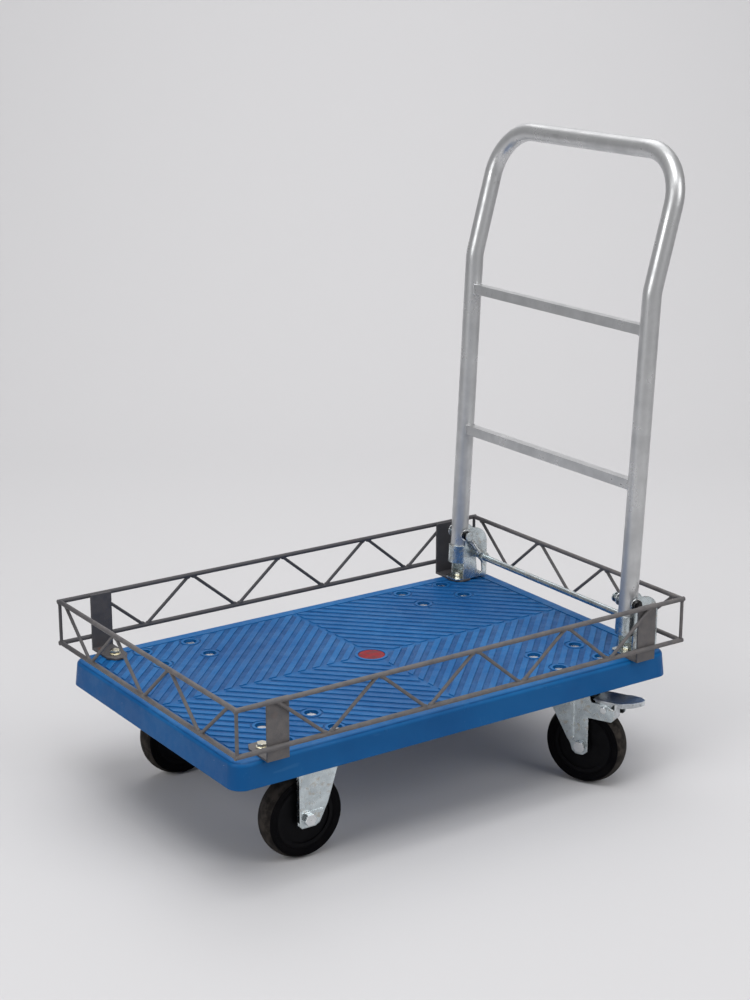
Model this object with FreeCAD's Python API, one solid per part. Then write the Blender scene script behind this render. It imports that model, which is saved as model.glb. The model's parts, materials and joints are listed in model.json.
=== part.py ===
import FreeCAD, Part
import math
import os

os.makedirs("parts", exist_ok=True)

# Folding platform cart. Millimetres, +Z up, floor at z = 0, handle end toward +X.
# Lengths along the cart are counted from the middle of the deck; the whole cart is
# moved at the end so that the origin is under the middle of its bounding box.
# "left" is the -Y side: left for a person who pushes the cart by its handle.

# wheels
wheel_diameter = 125.0
tyre_width = 32.0
tyre_crown = 4.5
tyre_depth = 18.0
hub_rim = 5.0
hub_dish = 3.0
boss_radius = 14.0
axle_radius = 5.0
sleeve_radius = 7.5
running_gap = 0.05
side_gap = 1.0
face_gap = 0.3

# caster forks and plates
leg_clearance = 4.0
leg_thickness = 2.5
axle_seat = 1.2
plate_length = 105.0
plate_thickness = 3.0
hole_spacing_x = 80.0
nut_room = 7.5
plate_edge = 12.5
caster_bolt_radius = 4.0
caster_headroom = 33.0
caster_x = 237.6
caster_y = 171.3
swivel_trail = 35.7
swivel_angle = -65.0
fork_front = 16.0
fork_rear = 47.0
fork_arm = 88.0
fork_arm_drop = 17.0
fork_step = 1.2
fork_crease = 24.0
kingpin_radius = 6.0
kingpin_head_radius = 11.0
crown_radius = 34.0
race_radius = 24.0
ball_radius = 2.5

# brake
pedal_pin_reach = 71.0
pedal_pin_drop = 28.0
pedal_pin_radius = 3.0
pedal_reach = 127.0
pedal_width = 42.0
pedal_sheet = 2.0
pedal_start = 53.0
pedal_rise = 11.5
pedal_rim = 5.0
shoe_start = 3.6
shoe_length = 9.0
shoe_gap = 4.5

# deck
deck_length = 760.0
deck_width = 484.0
deck_depth = 34.0
skirt_height = 38.0
skirt_wall = 4.5
skirt_draft = 3.0
deck_skin = 6.0
under_rib_wall = 4.0
under_rib_lift = 4.0
under_rib_y = 100.0
under_rib_near_x = 140.0
under_rib_far_x = 335.0
deck_corner_radius = 22.0
deck_edge_radius = 7.0
groove_depth = 1.2
rib_pitch = 25.0
rib_width = 9.0
field_border = 24.0
seam_width = 5.0
pocket_radius = 10.0
pocket_depth = 7.0
disc_radius = 20.0
disc_thickness = 2.6

# guard rail
rail_x = 385.0
rail_y = 256.5
rail_bar = 7.0
rail_lower = 20.2
rail_upper = 85.2
rail_wire = 5.0
node_split = 6.0
side_bay = 163.0
end_bay = 160.0
bracket_x = 320.0
bracket_width = 34.0
bracket_sheet = 3.0
bracket_foot_end = 192.0
bracket_height = 87.0
bracket_bolt_y = 211.0
bracket_bolt_radius = 4.0

# hinge
pivot_x = 320.0
leg_y = 210.0
pivot_above_deck = 80.0
pivot_radius = 5.0
post_radius = 4.0
hinge_sheet = 2.5
hinge_gap = 0.3
hinge_rear_x = 364.0
hinge_front_x = 302.0
ear_top = 10.0
ear_corner = 28.0
web_length = 29.5
web_drop = 48.5
washer_radius = 10.0
washer_thickness = 1.5
cap_radius = 8.5
cap_depth = 5.0
cap_grip = 2.0
ring_radius = 7.5
ring_depth = 3.0
knob_radius = 7.5

# release rod
rod_radius = 5.0
rod_x = 347.0
rod_above_deck = 41.0
rod_travel_x = 3.0
rod_travel_z = -27.0
slot_radius = 5.5
spring_wire = 0.6
spring_coil = 3.6
spring_turns = 20
spring_y = 186.0

# handle
tube_radius = 14.0
tube_wall = 1.5
tube_tail = 36.0
lean_lower = 2.9
lean_upper = 15.4
kink_above_deck = 543.0
kink_bend = 60.0
grip_above_deck = 738.0
grip_bend = 75.0
crossbar_size = 15.0
crossbars_above_deck = [258.0, 488.0]

# sizes that follow from the ones above
wheel_radius = wheel_diameter / 2
plate_top = wheel_diameter + caster_headroom
plate_bottom = plate_top - plate_thickness
deck_top = plate_top + deck_depth
skirt_bottom = deck_top - skirt_height
leg_inner = tyre_width / 2 + leg_clearance
leg_outer = leg_inner + leg_thickness
hole_spacing_y = 2 * (leg_outer + nut_room)
plate_width = hole_spacing_y + 2 * plate_edge
foot_top = deck_top + bracket_sheet
base_top = foot_top + hinge_sheet
pivot_z = deck_top + pivot_above_deck
rod_z = deck_top + rod_above_deck
ear_inner = tube_radius + hinge_gap
ear_outer = ear_inner + hinge_sheet
lower_z = deck_top + rail_lower
upper_z = deck_top + rail_upper
half_bar = rail_bar / 2
crown_top = plate_bottom - 6.0
crown_split = crown_top - 2.5
crown_bottom = crown_split - 3.0
pedal_pin_z = plate_bottom - pedal_pin_drop


def vec(x, y, z):
    return FreeCAD.Vector(x, y, z)


def block(x0, x1, y0, y1, z0, z1):
    return Part.makeBox(x1 - x0, y1 - y0, z1 - z0, vec(x0, y0, z0))


def bar_x(radius, y, z, x0, x1):
    return Part.makeCylinder(radius, x1 - x0, vec(x0, y, z), vec(1, 0, 0))


def bar_y(radius, x, z, y0, y1):
    return Part.makeCylinder(radius, y1 - y0, vec(x, y0, z), vec(0, 1, 0))


def bar_z(radius, x, y, z0, z1):
    return Part.makeCylinder(radius, z1 - z0, vec(x, y, z0))


def outline_xz(points, y0, y1):
    corners = [vec(x, y0, z) for x, z in points]
    face = Part.Face(Part.makePolygon(corners + corners[:1]))
    return face.extrude(vec(0, y1 - y0, 0))


def outline_xy(points, z0, z1):
    corners = [vec(x, y, z0) for x, y in points]
    face = Part.Face(Part.makePolygon(corners + corners[:1]))
    return face.extrude(vec(0, 0, z1 - z0))


def hexagon(flats, height):
    corner = flats / math.sqrt(3)
    turns = [math.radians(60 * i) for i in range(6)]
    return outline_xy([(corner * math.cos(a), corner * math.sin(a)) for a in turns], 0, height)


def aimed(shape, point, axis):
    result = shape.copy()
    result.Placement = FreeCAD.Placement(point, FreeCAD.Rotation(vec(0, 0, 1), axis))
    return result


def mirrored(shape):
    return shape.mirror(vec(0, 0, 0), vec(0, 1, 0))


def both_sides(shape):
    return [shape, mirrored(shape)]


def fused(pieces):
    return pieces[0].fuse(pieces[1:]).removeSplitter()


def lower_leg_direction():
    return vec(math.sin(math.radians(lean_lower)), 0, math.cos(math.radians(lean_lower)))


def upper_leg_direction():
    return vec(math.sin(math.radians(lean_upper)), 0, math.cos(math.radians(lean_upper)))


def leg_x(z):
    return pivot_x + (z - pivot_z) * math.tan(math.radians(lean_lower))


def kink_point(y):
    z = deck_top + kink_above_deck
    return vec(leg_x(z), y, z)


def grip_corner(y):
    rise = grip_above_deck - kink_above_deck
    length = rise / math.cos(math.radians(lean_upper))
    return kink_point(y) + upper_leg_direction() * length


rear_reach = grip_corner(0).x + tube_radius
front_reach = rail_x + half_bar
centring = (front_reach - rear_reach) / 2


def save(name, pieces):
    matrix = FreeCAD.Matrix()
    matrix.move(vec(centring, 0, 0))
    moved = [piece.transformed(matrix, True) for piece in pieces]
    shape = moved[0]
    if len(moved) > 1:
        shape = Part.makeCompound(moved)
    shape.exportStep("parts/" + name + ".step")


def save_pair(name, left):
    save(name + "_left", [left])
    save(name + "_right", [mirrored(left)])


# deck

def caster_holes():
    spots = []
    for sx in (-1, 1):
        for sy in (-1, 1):
            for hx in (-1, 1):
                for hy in (-1, 1):
                    x = sx * caster_x + hx * hole_spacing_x / 2
                    y = sy * caster_y + hy * hole_spacing_y / 2
                    spots.append((x, y))
    return spots


def bracket_spots():
    return [(sx * bracket_x, sy * bracket_bolt_y) for sx in (-1, 1) for sy in (-1, 1)]


def rounded_outline(length, width, radius, z):
    edges = []
    ends = []
    for i, (sx, sy) in enumerate([(1, 1), (-1, 1), (-1, -1), (1, -1)]):
        centre = vec(sx * (length / 2 - radius), sy * (width / 2 - radius), z)
        arc = Part.makeCircle(radius, centre, vec(0, 0, 1), 90 * i, 90 * i + 90)
        ends.append((arc.Vertexes[0].Point, arc.Vertexes[-1].Point))
        edges.append(arc)
    for i in range(4):
        edges.append(Part.makeLine(ends[i][1], ends[(i + 1) % 4][0]))
    return Part.Wire(Part.__sortEdges__(edges))


def tray(inset, z0, z1):
    shrink = 2 * inset
    radius = deck_corner_radius - inset
    slope0 = 2 * skirt_draft * (z0 - skirt_bottom) / skirt_height
    slope1 = 2 * skirt_draft * (z1 - skirt_bottom) / skirt_height
    low = rounded_outline(deck_length - shrink - slope0, deck_width - shrink - slope0, radius, z0)
    high = rounded_outline(deck_length - shrink - slope1, deck_width - shrink - slope1, radius, z1)
    return Part.makeLoft([low, high], True, True)


def rib_islands():
    field_x = deck_length / 2 - field_border
    field_y = deck_width / 2 - field_border
    region = block(seam_width / 2, field_x - 3, seam_width / 2, field_y - 3,
                   deck_top - groove_depth - 1, deck_top + 1)
    bores = [bar_z(pocket_radius + 7, x, y, deck_top - 5, deck_top + 5)
             for x, y in caster_holes() if x > 0 and y > 0]
    bores.append(bar_z(disc_radius + 9, 0, 0, deck_top - 5, deck_top + 5))
    region = region.cut(bores)
    strips = []
    count = int((field_x + field_y) / rib_pitch)
    reach = deck_length
    for k in range(2, count + 1):
        strip = block(-reach, reach, -rib_width / 2, rib_width / 2,
                      deck_top - groove_depth - 1, deck_top + 1)
        strip.rotate(vec(0, 0, 0), vec(0, 0, 1), -45)
        strip.translate(vec(k * rib_pitch / 2, k * rib_pitch / 2, 0))
        strips += strip.common(region).Solids
    ribs = []
    for rib in strips:
        across = rib.mirror(vec(0, 0, 0), vec(1, 0, 0))
        ribs += [rib, across, mirrored(rib), mirrored(across)]
    return ribs


def grooves():
    field_x = deck_length / 2 - field_border
    field_y = deck_width / 2 - field_border
    field = block(-field_x, field_x, -field_y, field_y, deck_top - groove_depth, deck_top + 0.5)
    rims = [bar_z(pocket_radius + 4, x, y, deck_top - 5, deck_top + 5) for x, y in caster_holes()]
    rims.append(bar_z(disc_radius + 5, 0, 0, deck_top - 5, deck_top + 5))
    return field.cut(rims + rib_islands())


def under_ribs():
    reach_x = deck_length / 2 - skirt_wall / 2
    reach_y = deck_width / 2 - skirt_wall / 2
    half = under_rib_wall / 2
    low = plate_top + under_rib_lift
    high = deck_top - deck_skin + 1
    walls = []
    for y in (-under_rib_y, 0, under_rib_y):
        walls.append(block(-reach_x, reach_x, y - half, y + half, low, high))
    for x in (-under_rib_far_x, -under_rib_near_x, 0, under_rib_near_x, under_rib_far_x):
        walls.append(block(x - half, x + half, -reach_y, reach_y, low, high))
    return walls


def make_deck():
    shell = tray(0, skirt_bottom, deck_top)
    rim = [e for e in shell.Edges if abs(e.BoundBox.ZMin - deck_top) < 0.01]
    shell = shell.makeFillet(deck_edge_radius, rim)
    shell = shell.cut(tray(skirt_wall, skirt_bottom - 1, deck_top - deck_skin))
    under = under_ribs()
    for sx in (-1, 1):
        for sy in (-1, 1):
            x = sx * caster_x
            y = sy * caster_y
            under.append(block(x - plate_length / 2 - 3, x + plate_length / 2 + 3,
                               y - plate_width / 2 - 3, y + plate_width / 2 + 3,
                               plate_top, deck_top - deck_skin + 1))
    for x, y in bracket_spots():
        under.append(bar_z(12, x, y, deck_top - 14, deck_top - deck_skin + 1))
    body = shell.fuse(under)
    cuts = []
    for x, y in caster_holes():
        cuts.append(bar_z(pocket_radius, x, y, deck_top - pocket_depth, deck_top + 1))
        cuts.append(bar_z(caster_bolt_radius + 0.2, x, y, plate_top - 1, deck_top))
    for x, y in bracket_spots():
        cuts.append(bar_z(bracket_bolt_radius + 0.2, x, y, deck_top - 15, deck_top + 1))
    cuts.append(bar_z(disc_radius + 0.6, 0, 0, deck_top - disc_thickness - 0.6, deck_top + 1))
    return body.cut(cuts).cut(grooves())


def make_centre_disc():
    base = deck_top - disc_thickness - 0.6
    disc = bar_z(disc_radius, 0, 0, base, base + disc_thickness)
    rim = [e for e in disc.Edges if abs(e.BoundBox.ZMin - base - disc_thickness) < 0.01]
    return disc.makeFillet(0.6, rim)


# guard rail

def rail_bars(z):
    sides = [bar_x(half_bar, sy * rail_y, z, -rail_x - half_bar, rail_x + half_bar) for sy in (-1, 1)]
    reach = rail_y - 1.5
    ends = [bar_y(half_bar, sx * rail_x, z, -reach, reach).cut(sides).Solids[0] for sx in (-1, 1)]
    return sides + ends


def both_rings():
    return rail_bars(lower_z) + rail_bars(upper_z)


def rail_posts():
    rings = both_rings()
    posts = []
    for sx in (-1, 1):
        for sy in (-1, 1):
            post = bar_z(rail_wire / 2, sx * rail_x, sy * rail_y, lower_z, upper_z)
            posts.append(post.cut(rings).Solids[0])
    return posts


def diagonal(low, high, along_x, offset):
    step = math.copysign(node_split, high - low)
    slope = (high - low - 2 * step) / (upper_z - lower_z - rail_bar)
    a = low + step - slope * half_bar
    b = high - step + slope * half_bar
    if along_x:
        first = vec(a, offset, lower_z)
        last = vec(b, offset, upper_z)
    else:
        first = vec(offset, a, lower_z)
        last = vec(offset, b, upper_z)
    run = last - first
    return Part.makeCylinder(rail_wire / 2, run.Length, first, run)


def trimmed(wires):
    rings = both_rings()
    return [wire.cut(rings).Solids[0] for wire in wires]


def side_diagonals():
    wires = []
    for sy in (-1, 1):
        for k in (-2, -1, 0, 1):
            mid = (k + 0.5) * side_bay
            wires.append(diagonal(mid, k * side_bay, True, sy * rail_y))
            wires.append(diagonal(mid, (k + 1) * side_bay, True, sy * rail_y))
    return trimmed(wires)


def end_diagonals():
    wires = []
    for sx in (-1, 1):
        for mid in (-end_bay, 0, end_bay):
            wires.append(diagonal(mid, mid - end_bay / 2, False, sx * rail_x))
            wires.append(diagonal(mid, mid + end_bay / 2, False, sx * rail_x))
    return trimmed(wires)


def make_rail_bracket(x):
    half = bracket_width / 2
    face = rail_y - half_bar
    plate = block(x - half, x + half, -face, -face + bracket_sheet, deck_top, deck_top + bracket_height)
    end = -bracket_foot_end
    foot = outline_xy([(x - half, -face), (x + half, -face), (x + half, end - 13),
                       (x + half - 7, end), (x - half + 7, end), (x - half, end - 13)],
                      deck_top, foot_top)
    hole = bar_z(bracket_bolt_radius + 0.2, x, -bracket_bolt_y, deck_top - 1, foot_top + 1)
    return fused([plate, foot]).cut(hole)


def bracket_seat(x):
    if x > 0:
        return base_top
    return foot_top


def rail_bolts():
    bolts = []
    for x, y in bracket_spots():
        seat = bracket_seat(x) + 1.6
        shank = bar_z(bracket_bolt_radius, x, y, deck_top - 23, seat + 1)
        head = aimed(hexagon(13, 5.3), vec(x, y, seat), vec(0, 0, 1))
        bolts.append(fused([shank, head]))
    return bolts


def rail_washers():
    rings = []
    for x, y in bracket_spots():
        seat = bracket_seat(x)
        ring = bar_z(8.5, x, y, seat, seat + 1.6)
        rings.append(ring.cut(bar_z(bracket_bolt_radius, x, y, seat - 1, seat + 3)))
    return rings


def rail_nuts():
    nuts = []
    for x, y in bracket_spots():
        nut = aimed(hexagon(13, 6.5), vec(x, y, deck_top - 20.5), vec(0, 0, 1))
        nuts.append(nut.cut(bar_z(bracket_bolt_radius, x, y, deck_top - 24, deck_top - 13)))
    return nuts


# hinge and release rod

def rod_slot(y0, y1):
    length = math.hypot(rod_travel_x, rod_travel_z)
    nx = -rod_travel_z / length * slot_radius
    nz = rod_travel_x / length * slot_radius
    end_x = rod_x + rod_travel_x
    end_z = rod_z + rod_travel_z
    middle = outline_xz([(rod_x + nx, rod_z + nz), (end_x + nx, end_z + nz),
                         (end_x - nx, end_z - nz), (rod_x - nx, rod_z - nz)], y0, y1)
    top = bar_y(slot_radius, rod_x, rod_z, y0, y1)
    bottom = bar_y(slot_radius, end_x, end_z, y0, y1)
    return fused([middle, top, bottom])


def hinge_ear(y0, y1):
    top = pivot_z + ear_top
    corner = hinge_rear_x - ear_corner
    drop = top - ear_corner
    a = vec(leg_x(foot_top), y0, foot_top)
    b = vec(hinge_rear_x, y0, foot_top)
    c = vec(hinge_rear_x, y0, drop)
    d = vec(corner, y0, top)
    e = vec(leg_x(top), y0, top)
    tip = ear_corner * math.sqrt(0.5)
    arc = Part.Arc(c, vec(corner + tip, y0, drop + tip), d).toShape()
    edges = [Part.makeLine(a, b), Part.makeLine(b, c), arc, Part.makeLine(d, e), Part.makeLine(e, a)]
    return Part.Face(Part.Wire(edges)).extrude(vec(0, y1 - y0, 0))


def hinge_web():
    ring = Part.makeCylinder(ear_outer, web_length).cut(Part.makeCylinder(ear_inner, web_length))
    half = ring.cut(block(0, 40, -40, 40, -1, web_length + 1))
    start = vec(pivot_x, -leg_y, pivot_z) - lower_leg_direction() * web_drop
    return aimed(half, start, lower_leg_direction())


def make_hinge_bracket():
    near = hinge_ear(-leg_y - ear_outer, -leg_y - ear_inner)
    far = hinge_ear(-leg_y + ear_inner, -leg_y + ear_outer)
    base = block(hinge_front_x, hinge_rear_x, -leg_y - ear_outer, -leg_y + ear_outer, foot_top, base_top)
    front = [e for e in base.Edges
             if abs(e.BoundBox.XMax - hinge_front_x) < 0.01 and e.BoundBox.ZLength > 1
             and e.BoundBox.YLength < 0.01]
    base = base.makeFillet(7, front)
    body = fused([base, near, far, hinge_web()])
    y0 = -leg_y - 40
    y1 = -leg_y + 40
    holes = [bar_y(pivot_radius, pivot_x, pivot_z, y0, y1), rod_slot(y0, y1),
             bar_z(bracket_bolt_radius + 0.2, bracket_x, -bracket_bolt_y, foot_top - 1, base_top + 1)]
    return body.cut(holes)


def pivot_bolt():
    outer = -leg_y - ear_outer - washer_thickness
    inner = -leg_y + ear_outer + washer_thickness
    shank = bar_y(pivot_radius, pivot_x, pivot_z, outer - cap_grip, inner + cap_grip)
    post = bar_y(post_radius, pivot_x, pivot_z, inner + 1, -spring_y + 4)
    knob = bar_y(knob_radius, pivot_x, pivot_z, -spring_y + 3, -spring_y + 5)
    return fused([shank, post, knob])


def pivot_washers():
    rings = []
    for y0 in (-leg_y - ear_outer - washer_thickness, -leg_y + ear_outer):
        ring = bar_y(washer_radius, pivot_x, pivot_z, y0, y0 + washer_thickness)
        ring = ring.cut(bar_y(pivot_radius, pivot_x, pivot_z, y0 - 1, y0 + washer_thickness + 1))
        rings += [ring, mirrored(ring)]
    return rings


def pivot_caps():
    outer = -leg_y - ear_outer - washer_thickness
    inner = -leg_y + ear_outer + washer_thickness
    dome = bar_y(cap_radius, pivot_x, pivot_z, outer - cap_depth, outer)
    crest = [e for e in dome.Edges if abs(e.BoundBox.YMax - outer + cap_depth) < 0.01]
    dome = dome.makeFillet(cap_depth / 2, crest)
    dome = dome.cut(bar_y(pivot_radius, pivot_x, pivot_z, outer - cap_grip, outer + 1))
    ring = bar_y(ring_radius, pivot_x, pivot_z, inner, inner + ring_depth)
    ring = ring.cut(bar_y(pivot_radius, pivot_x, pivot_z, inner - 1, inner + cap_grip))
    ring = ring.cut(bar_y(post_radius, pivot_x, pivot_z, inner + 1, inner + ring_depth + 1))
    return [dome, ring, mirrored(dome), mirrored(ring)]


def release_rod():
    return bar_y(rod_radius, rod_x, rod_z, -leg_y - ear_outer - 9, leg_y + ear_outer + 9)


def release_collars():
    outer = leg_y + ear_outer
    cap = bar_y(8.5, rod_x, rod_z, outer + 1.5, outer + 6)
    nut = aimed(hexagon(16, 6), vec(rod_x, spring_y - 12, rod_z), vec(0, 1, 0))
    collars = []
    for piece in (cap, nut):
        open_piece = piece.cut(bar_y(rod_radius, rod_x, rod_z, 100, 300))
        collars += [open_piece, mirrored(open_piece)]
    return collars


def make_spring():
    start = vec(pivot_x, -spring_y, pivot_z)
    finish = vec(rod_x, -spring_y, rod_z)
    run = finish - start
    span = run.Length
    top_ring = post_radius + spring_wire + 0.3
    low_ring = rod_radius + spring_wire + 0.3
    first = 9.0
    last = span - 9.5
    pitch = (last - first) / spring_turns
    helix = Part.makeHelix(pitch, last - first, spring_coil)
    section = Part.Wire([Part.makeCircle(spring_wire, vec(spring_coil, 0, 0), vec(0, 1, 0))])
    coil = Part.Wire([helix]).makePipeShell([section], True, True)
    coil.translate(vec(0, 0, first))
    reach_top = math.sqrt(top_ring ** 2 - spring_coil ** 2)
    reach_low = span - math.sqrt(low_ring ** 2 - spring_coil ** 2)
    pieces = [coil,
              Part.makeTorus(top_ring, spring_wire, vec(0, 0, 0), vec(0, 1, 0)),
              Part.makeTorus(low_ring, spring_wire, vec(0, 0, span), vec(0, 1, 0)),
              bar_z(spring_wire, spring_coil, 0, reach_top, first),
              bar_z(spring_wire, spring_coil, 0, last, reach_low),
              Part.makeSphere(spring_wire, vec(spring_coil, 0, first)),
              Part.makeSphere(spring_wire, vec(spring_coil, 0, last))]
    spring = pieces[0].fuse(pieces[1:])
    return turned_to(spring, start, run)


def turned_to(shape, point, run):
    angle = math.degrees(math.atan2(run.x, run.z))
    result = shape.copy()
    result.rotate(vec(0, 0, 0), vec(0, 1, 0), angle)
    result.translate(point)
    return result


# handle

def bend_middle(corner, before, after, radius):
    half = before.getAngle(after) / 2
    toward = (after - before).normalize()
    centre = corner + toward * (radius / math.cos(half))
    return centre - toward * radius


def handle_path():
    lower = lower_leg_direction()
    upper = upper_leg_direction()
    trim = kink_bend * math.tan(lower.getAngle(upper) / 2)
    edges = []
    tops = {}
    for side in (-1, 1):
        y = side * leg_y
        pivot = vec(pivot_x, y, pivot_z)
        kink = kink_point(y)
        corner = grip_corner(y)
        across = vec(0, -side, 0)
        foot = pivot - lower * tube_tail
        a = kink - lower * trim
        b = kink + upper * trim
        c = corner - upper * grip_bend
        d = corner + across * grip_bend
        run = [Part.makeLine(foot, a), Part.Arc(a, bend_middle(kink, lower, upper, kink_bend), b).toShape(),
               Part.makeLine(b, c), Part.Arc(c, bend_middle(corner, upper, across, grip_bend), d).toShape()]
        edges += run
        tops[side] = d
    edges.append(Part.makeLine(tops[-1], tops[1]))
    return Part.Wire(Part.__sortEdges__(edges))


def swept_tube(radius):
    foot = vec(pivot_x, -leg_y, pivot_z) - lower_leg_direction() * tube_tail
    profile = Part.Wire([Part.makeCircle(radius, foot, lower_leg_direction())])
    return handle_path().makePipeShell([profile], True, False)


def make_handle_tube():
    tube = swept_tube(tube_radius).cut(swept_tube(tube_radius - tube_wall))
    return tube.cut(bar_y(pivot_radius + running_gap, pivot_x, pivot_z, -leg_y - 40, leg_y + 40))


def make_crossbar(above_deck):
    z = deck_top + above_deck
    h = crossbar_size / 2
    bar = block(-h, h, -leg_y, leg_y, -h, h)
    bar = bar.cut(block(-h + 1.5, h - 1.5, -leg_y - 1, leg_y + 1, -h + 1.5, h - 1.5))
    bar.rotate(vec(0, 0, 0), vec(0, 1, 0), lean_lower)
    bar.translate(vec(leg_x(z), 0, z))
    legs = []
    for side in (-1, 1):
        foot = vec(pivot_x, side * leg_y, pivot_z)
        legs.append(Part.makeCylinder(tube_radius, 520, foot, lower_leg_direction()))
    return bar.cut(legs)


def tube_plugs():
    foot = vec(pivot_x, -leg_y, pivot_z) - lower_leg_direction() * tube_tail
    lip = Part.makeCylinder(tube_radius - 0.3, 1.5, foot, lower_leg_direction() * -1)
    stem = Part.makeCylinder(tube_radius - tube_wall, 12, foot, lower_leg_direction())
    plug = fused([lip, stem])
    return [plug, mirrored(plug)]


# wheels

def tyre_ring():
    half = tyre_width / 2
    inner = wheel_radius - tyre_depth
    edge = wheel_radius - tyre_crown
    shoulder = edge - 6
    points = [vec(inner, -half + 1, 0), vec(inner, half - 1, 0), vec(shoulder, half, 0), vec(edge, half, 0)]
    points += [vec(edge, -half, 0), vec(shoulder, -half, 0)]
    edges = [Part.makeLine(points[i], points[i + 1]) for i in range(3)]
    edges.append(Part.Arc(points[3], vec(wheel_radius, 0, 0), points[4]).toShape())
    edges.append(Part.makeLine(points[4], points[5]))
    edges.append(Part.makeLine(points[5], points[0]))
    face = Part.Face(Part.Wire(edges))
    face.rotate(vec(0, 0, 0), vec(0, 1, 0), 90)
    return face.revolve(vec(0, 0, 0), vec(0, 1, 0), 360)


def hub_disc():
    half = tyre_width / 2
    rim_outer = wheel_radius - tyre_depth
    rim = ring_y(rim_outer - hub_rim, rim_outer, half - 1)
    web = ring_y(boss_radius - 1, rim_outer - hub_rim + 1, half - hub_dish)
    boss = ring_y(sleeve_radius + running_gap, boss_radius, leg_inner - side_gap)
    return fused([rim, web, boss])


def ring_y(inner, outer, half):
    ring = bar_y(outer, 0, 0, -half, half)
    return ring.cut(bar_y(inner, 0, 0, -half - 1, half + 1))


def axle_sleeve():
    return ring_y(axle_radius, sleeve_radius, leg_inner)


def axle_bolt(seat):
    face = leg_outer + seat
    shank = bar_y(axle_radius, 0, 0, -face - 1, face + 11)
    head = aimed(hexagon(16, 6.5), vec(0, -face, 0), vec(0, -1, 0))
    return fused([shank, head])


def axle_nut(seat):
    face = leg_outer + seat
    nut = aimed(hexagon(16, 8), vec(0, face, 0), vec(0, 1, 0))
    return nut.cut(bar_y(axle_radius, 0, 0, face - 1, face + 12))


def at_fixed_caster(shape):
    result = shape.copy()
    result.translate(vec(-caster_x, -caster_y, wheel_radius))
    return result


def at_swivel_caster(shape):
    result = shape.copy()
    result.rotate(vec(0, 0, 0), vec(0, 0, 1), swivel_angle)
    result.translate(vec(caster_x, -caster_y, 0))
    return result


def at_swivel_wheel(shape):
    result = shape.copy()
    result.translate(vec(swivel_trail, 0, wheel_radius))
    return at_swivel_caster(result)


# casters

def plate_with_holes(x, y):
    plate = block(x - plate_length / 2, x + plate_length / 2, y - plate_width / 2,
                  y + plate_width / 2, plate_bottom, plate_top)
    upright = [e for e in plate.Edges if e.BoundBox.ZLength > 1]
    plate = plate.makeFillet(6, upright)
    holes = []
    for hx in (-1, 1):
        for hy in (-1, 1):
            holes.append(bar_z(caster_bolt_radius + 0.3, x + hx * hole_spacing_x / 2,
                               y + hy * hole_spacing_y / 2, plate_bottom - 1, plate_top + 1))
    return plate.cut(holes)


def fork_leg(points, side):
    if side > 0:
        return outline_xz(points, leg_inner, leg_outer)
    return outline_xz(points, -leg_outer, -leg_inner)


def make_fixed_fork():
    top = plate_bottom + 1
    low = wheel_radius - 13.5
    points = [(-16.8, top), (-16.8, low + 7), (-9.8, low), (12, low), (19, low + 4),
              (24, wheel_radius), (33, wheel_radius + 18), (50.7, top - 22), (50.7, top)]
    pieces = [plate_with_holes(0, 0)]
    for side in (-1, 1):
        leg = fork_leg(points, side)
        y0 = min(side * (leg_outer - 1), side * (leg_outer + 5))
        lip = block(-16.8, -16.8 + leg_thickness, y0, y0 + 6, wheel_radius - 2, top)
        y1 = min(side * (leg_outer - 1), side * (leg_outer + axle_seat))
        seat = outline_xz([(-14.3, low + 5.5), (-9, low + 1.5), (11.5, low + 1.5), (17.5, low + 5),
                           (21, wheel_radius), (25.5, wheel_radius + 10.5), (-14.3, wheel_radius + 10.5)],
                          y1, y1 + axle_seat + 1)
        pieces += [leg, lip, seat]
    fork = fused(pieces).cut(bar_y(axle_radius, 0, wheel_radius, -60, 60))
    fork.translate(vec(-caster_x, -caster_y, 0))
    return fork


def caster_bolts():
    bolts = []
    for x, y in caster_holes():
        seat = deck_top - pocket_depth
        head = bar_z(8.6, x, y, seat, seat + 4.2)
        crest = [e for e in head.Edges if abs(e.BoundBox.ZMin - seat - 4.2) < 0.01]
        head = head.makeFillet(2.6, crest)
        bolts.append(fused([head, bar_z(caster_bolt_radius, x, y, plate_bottom - 7.5, seat + 1)]))
    return bolts


def caster_nuts():
    nuts = []
    for x, y in caster_holes():
        nut = aimed(hexagon(13, 6.5), vec(x, y, plate_bottom - 6.5), vec(0, 0, 1))
        nuts.append(nut.cut(bar_z(caster_bolt_radius, x, y, plate_bottom - 9, plate_bottom + 1)))
    return nuts


def race_groove_z():
    return crown_top + face_gap + ball_radius


def make_swivel_plate():
    plate = plate_with_holes(caster_x, -caster_y)
    race = bar_z(race_radius + 5, caster_x, -caster_y, race_groove_z(), plate_bottom + 1)
    race = race.cut(bar_z(race_radius - 5, caster_x, -caster_y, race_groove_z() - 1, plate_bottom + 2))
    body = fused([plate, race])
    groove = Part.makeTorus(race_radius, ball_radius, vec(caster_x, -caster_y, race_groove_z()))
    return body.cut([groove, bar_z(kingpin_radius, caster_x, -caster_y, 0, plate_top + 1)])


def bearing_rings():
    ring = Part.makeTorus(race_radius, ball_radius, vec(caster_x, -caster_y, race_groove_z()))
    return [ring, mirrored(ring)]


def kingpins():
    seat = crown_bottom - face_gap
    shank = bar_z(kingpin_radius, caster_x, -caster_y, seat - 1, plate_top)
    head = bar_z(kingpin_head_radius, caster_x, -caster_y, seat - 5.5, seat)
    lower = [e for e in head.Edges if abs(e.BoundBox.ZMax - seat + 5.5) < 0.01]
    pin = fused([shank, head.makeFillet(2, lower)])
    return [pin, mirrored(pin)]


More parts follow.
